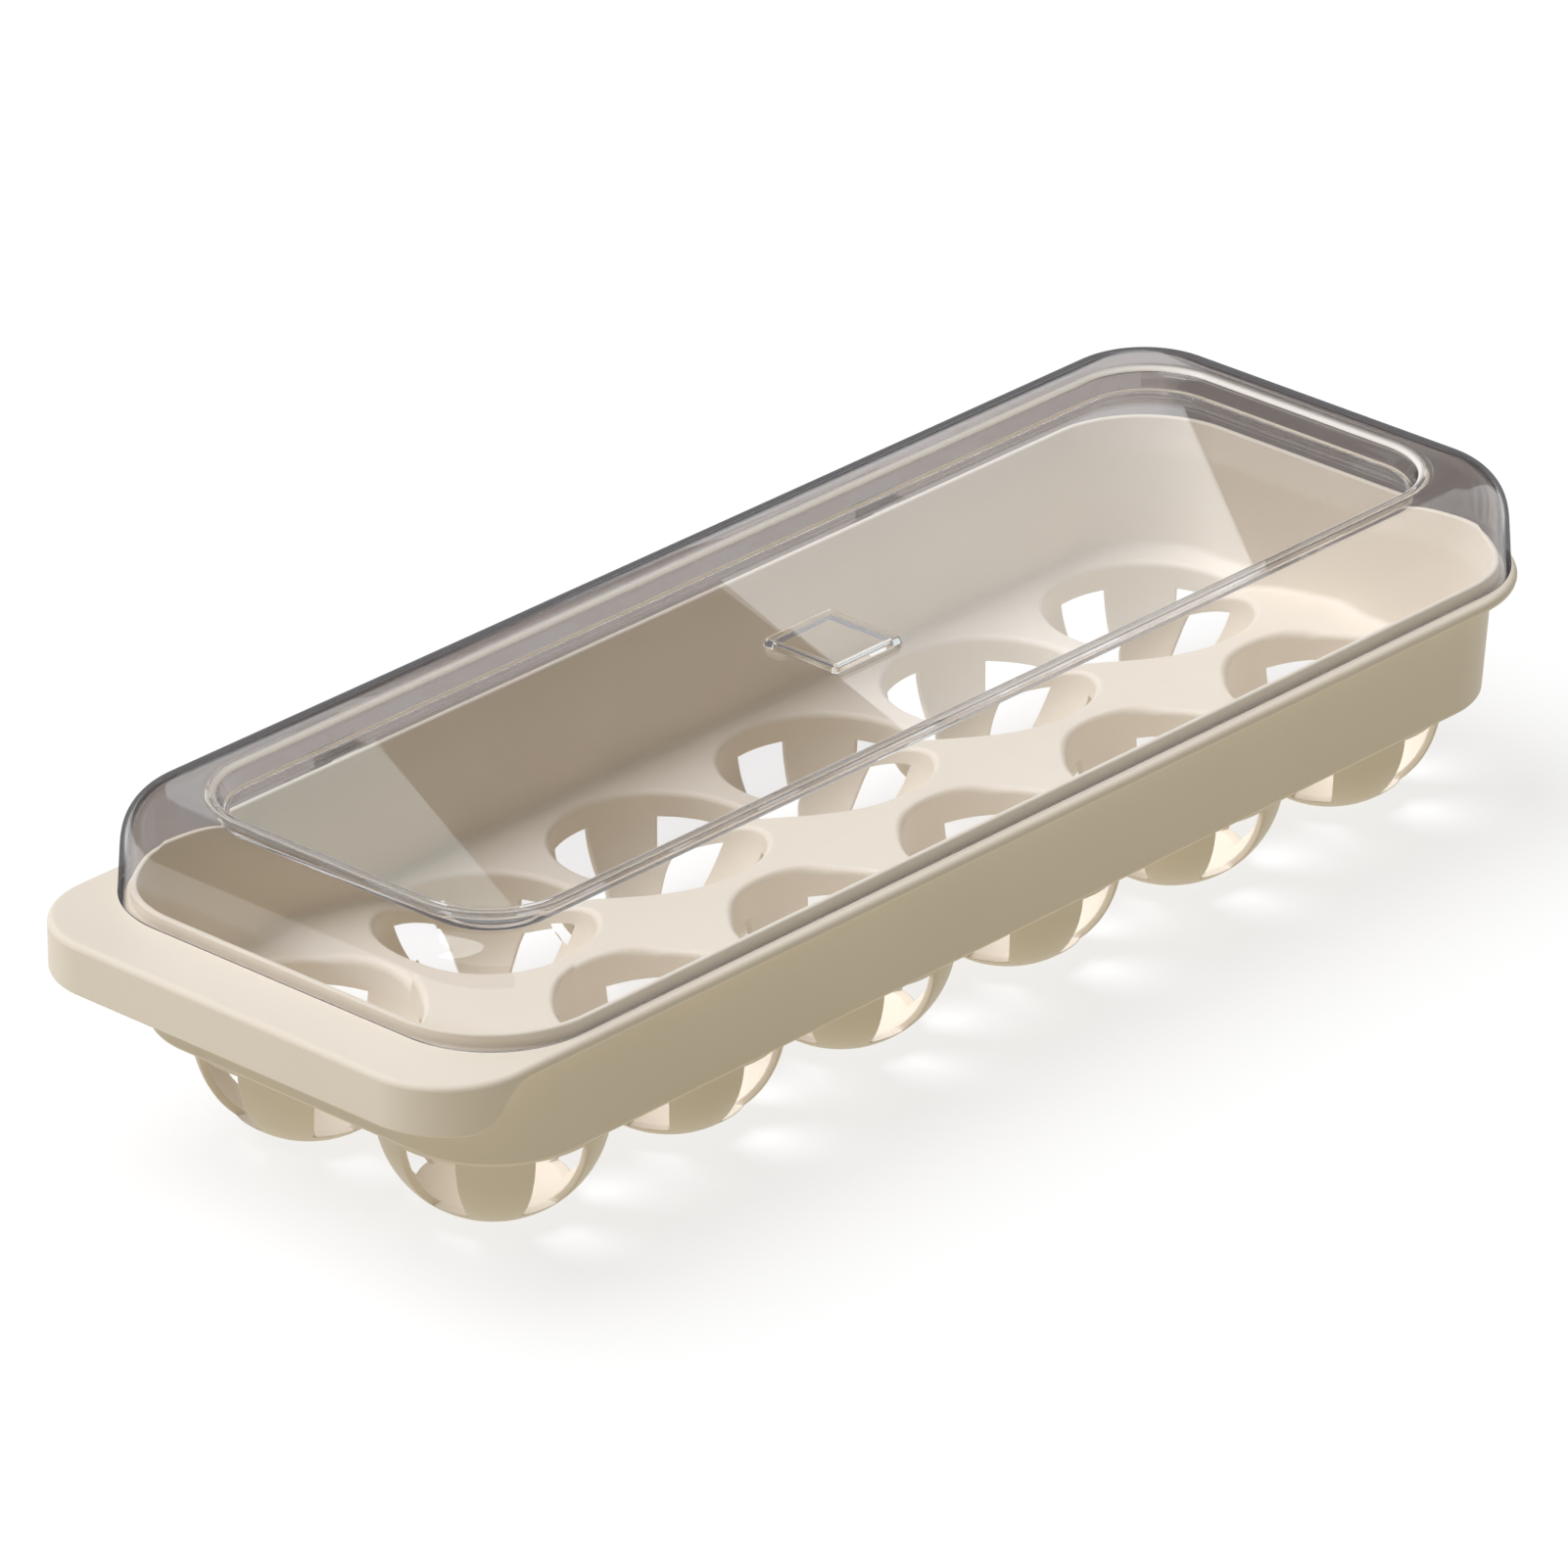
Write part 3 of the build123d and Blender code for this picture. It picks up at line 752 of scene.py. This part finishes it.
# Painted shade is full from the foot to the recess's rounded edge, and fades to none where the panel begins.
# It is a little deeper in the end walls, and thin in the recess's own walls and in the ears.  Seat_shade is
# painted shade low on the foot round the rim, and the edge entry is a painted highlight along the recess's
# top edge.
floor_start = recess_corner - recess_depth * np.tan(recess_angle) - 1.0
in_recess = (outside < recess_corner) & (height < lid_top - 1.5)
on_ear = where[:, 1] > lid_y + 0.3
end_wall = (np.abs(where[:, 0]) > lid_x - 3.5) & (height < lid_top - 5)
painted_shade_share = np.where(in_recess | on_ear, 0.2, np.where(end_wall, 1.15, 1.0))
painted_light_attributes = {
    "painted_shade": np.clip((outside - floor_start) / 1.5, 0, 1) * painted_shade_share,
    "seat_shade": np.clip(rim_top - 0.9 - height, 0, 1) * 0.32,
    # Painted highlight: a narrow band along the recess's rounded top edge.
    "painted_edge_highlight": np.exp(-((outside - recess_corner + 0.2) / 0.8) ** 2) * (height > lid_top - 1.0) * 0.8,
}
for painted_attribute, values in painted_light_attributes.items():
    lid_mesh.attributes.new(painted_attribute, "FLOAT", "POINT").data.foreach_set("value", values.astype(np.float32))
lid.data.materials.clear()
lid.data.materials.append(clear_polystyrene())
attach(lid, "lid")
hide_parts("lid")

# ---- Studio --------------------------------------------------------------------------------
# A pale floor that runs out to a white surround, and one broad soft lamp from above and behind the handle's
# end.  Dark cards stand round the set, seen only in gloss and through glass, and draw the clear lid's edges.
scene = bpy.context.scene
floor_half = 8.0
floor_mesh = bpy.data.meshes.new("floor")
floor_mesh.from_pydata([(x, y, 0) for x, y in ((-1, -1), (1, -1), (1, 1), (-1, 1))], [], [(0, 1, 2, 3)])
floor_mesh.transform(Matrix.Scale(floor_half, 4))
floor = bpy.data.objects.new("floor", floor_mesh)
floor.location.z = -0.1 * mm
scene.collection.objects.link(floor)


def seen_directly(nodes, links):
    """1 for camera, glossy and transmission rays, and 0 for the soft light that falls on the object."""
    rays = nodes.new("ShaderNodeLightPath")
    first, second = nodes.new("ShaderNodeMath"), nodes.new("ShaderNodeMath")
    first.operation = second.operation = "MAXIMUM"
    links.new(rays.outputs["Is Camera Ray"], first.inputs[0])
    links.new(rays.outputs["Is Glossy Ray"], first.inputs[1])
    links.new(first.outputs[0], second.inputs[0])
    links.new(rays.outputs["Is Transmission Ray"], second.inputs[1])
    return second.outputs[0]


floor_paint = bpy.data.materials.new("pale_floor")
floor_paint.use_nodes = True
nodes, links = floor_paint.node_tree.nodes, floor_paint.node_tree.links
floor_paint.node_tree.nodes.remove(nodes["Principled BSDF"])
matt = nodes.new("ShaderNodeBsdfDiffuse")
matt.inputs["Color"].default_value = (0.25, 0.25, 0.25, 1)
under_glow, white_glow = nodes.new("ShaderNodeEmission"), nodes.new("ShaderNodeEmission")
under_glow.inputs["Color"].default_value = (1.0, 0.89, 0.61, 1)
under_glow.inputs["Strength"].default_value = 0.43
white_glow.inputs["Strength"].default_value = 0.77
either, both = nodes.new("ShaderNodeMixShader"), nodes.new("ShaderNodeAddShader")
links.new(seen_directly(nodes, links), either.inputs["Fac"])
links.new(under_glow.outputs["Emission"], either.inputs[1])
links.new(white_glow.outputs["Emission"], either.inputs[2])
links.new(matt.outputs["BSDF"], both.inputs[0])
links.new(either.outputs["Shader"], both.inputs[1])
links.new(both.outputs["Shader"], nodes["Material Output"].inputs["Surface"])
floor.data.materials.append(floor_paint)

world = bpy.data.worlds.new("studio")
scene.world = world
world.use_nodes = True
nodes, links = world.node_tree.nodes, world.node_tree.links
soft_sky, white_sky = nodes["Background"], nodes.new("ShaderNodeBackground")
soft_sky.inputs["Color"].default_value = (1.0, 0.88, 0.61, 1)
soft_sky.inputs["Strength"].default_value = 0.17
white_sky.inputs["Color"].default_value = (1, 1, 1, 1)
white_sky.inputs["Strength"].default_value = 1.0
either = nodes.new("ShaderNodeMixShader")
links.new(seen_directly(nodes, links), either.inputs["Fac"])
links.new(soft_sky.outputs["Background"], either.inputs[1])
links.new(white_sky.outputs["Background"], either.inputs[2])
links.new(either.outputs["Shader"], nodes["World Output"].inputs["Surface"])

lamp_data = bpy.data.lights.new("soft_lamp", "SUN")
lamp_data.energy = 2.85
lamp_data.color = (1.0, 1.02, 1.08)
lamp_data.angle = np.radians(50)
lamp = bpy.data.objects.new("soft_lamp", lamp_data)
lamp.rotation_euler = Vector((-0.4, 0.42, 1)).to_track_quat("Z", "Y").to_euler()
lamp.visible_glossy = False
scene.collection.objects.link(lamp)


def card_paint(name, colour, strength):
    """A card's matt face, which gives off light of its own where it is a softbox."""
    made = bpy.data.materials.new(name)
    made.use_nodes = True
    face = made.node_tree.nodes["Principled BSDF"]
    face.inputs["Base Color"].default_value = (0.02, 0.02, 0.02, 1)
    face.inputs["Roughness"].default_value = 1.0
    face.inputs["Emission Color"].default_value = (*colour, 1)
    face.inputs["Emission Strength"].default_value = strength
    return made


def card(name, corners, paint):
    """A flat card through corners in metres, which only gloss and glass can see."""
    mesh = bpy.data.meshes.new(name)
    mesh.from_pydata(corners, [], [list(range(len(corners)))])
    flat = bpy.data.objects.new(name, mesh)
    scene.collection.objects.link(flat)
    flat.data.materials.append(paint)
    flat.visible_camera = flat.visible_diffuse = flat.visible_shadow = False


black = card_paint("black_card", (0.92, 0.85, 0.88), 0.18)
softbox_paints = {
    "middle": card_paint("softbox_middle", (0.95, 0.97, 1.0), 1.3),
    "left": card_paint("softbox_left", (0.88, 0.97, 1.0), 0.8),
}
ring_distance = 1.2
ring_ends = np.radians([5, 35, 65, 95, 125, 160, 200, 240])
ring_heights = [0.95, 1.9, 1.9, 1.9, 1.9, 0.95, 0.95]
for k, (first, last, high) in enumerate(zip(ring_ends[:-1], ring_ends[1:], ring_heights)):
    (x0, y0), (x1, y1) = [(ring_distance * np.cos(a), ring_distance * np.sin(a)) for a in (first, last)]
    card(f"black_card_{k}", [(x0, y0, 0), (x1, y1, 0), (x1, y1, high), (x0, y0, high)], black)

# Two leaning softboxes behind the set, given by (across, up) in the upright plane that they stand in.
softbox_distance, softbox_heading = 0.9, np.radians(42.6)
softboxes = {
    "middle": [(0.149, 0.36), (-0.081, 0.36), (-0.189, 0.62), (-0.146, 0.62)],
    "left": [(0.33, 0.40), (0.206, 0.40), (0.044, 0.62), (0.33, 0.62)],
}
away = Vector((np.cos(softbox_heading), np.sin(softbox_heading), 0))
sideways = Vector((-away.y, away.x, 0))
for name, shape in softboxes.items():
    corners = [away * softbox_distance + sideways * across + Vector((0, 0, up)) for across, up in shape]
    card(f"softbox_{name}", corners, softbox_paints[name])

# The camera looks down by 25.8 degrees past the handle's end of the near long side.
camera_data = bpy.data.cameras.new("camera")
camera_data.lens = 297.6
camera_data.sensor_width = 36
camera_data.clip_end = 50
camera = bpy.data.objects.new("camera", camera_data)
right, up, back = (0.67683, -0.73614, 0), (0.32080, 0.29496, 0.90005), (-0.66256, -0.60918, 0.43579)
place = Matrix.Translation((-1.72585, -1.5819, 1.1729))
camera.matrix_world = place @ Matrix((right, up, back)).transposed().to_4x4()
scene.collection.objects.link(camera)
scene.camera = camera
scene.view_settings.view_transform = "Standard"
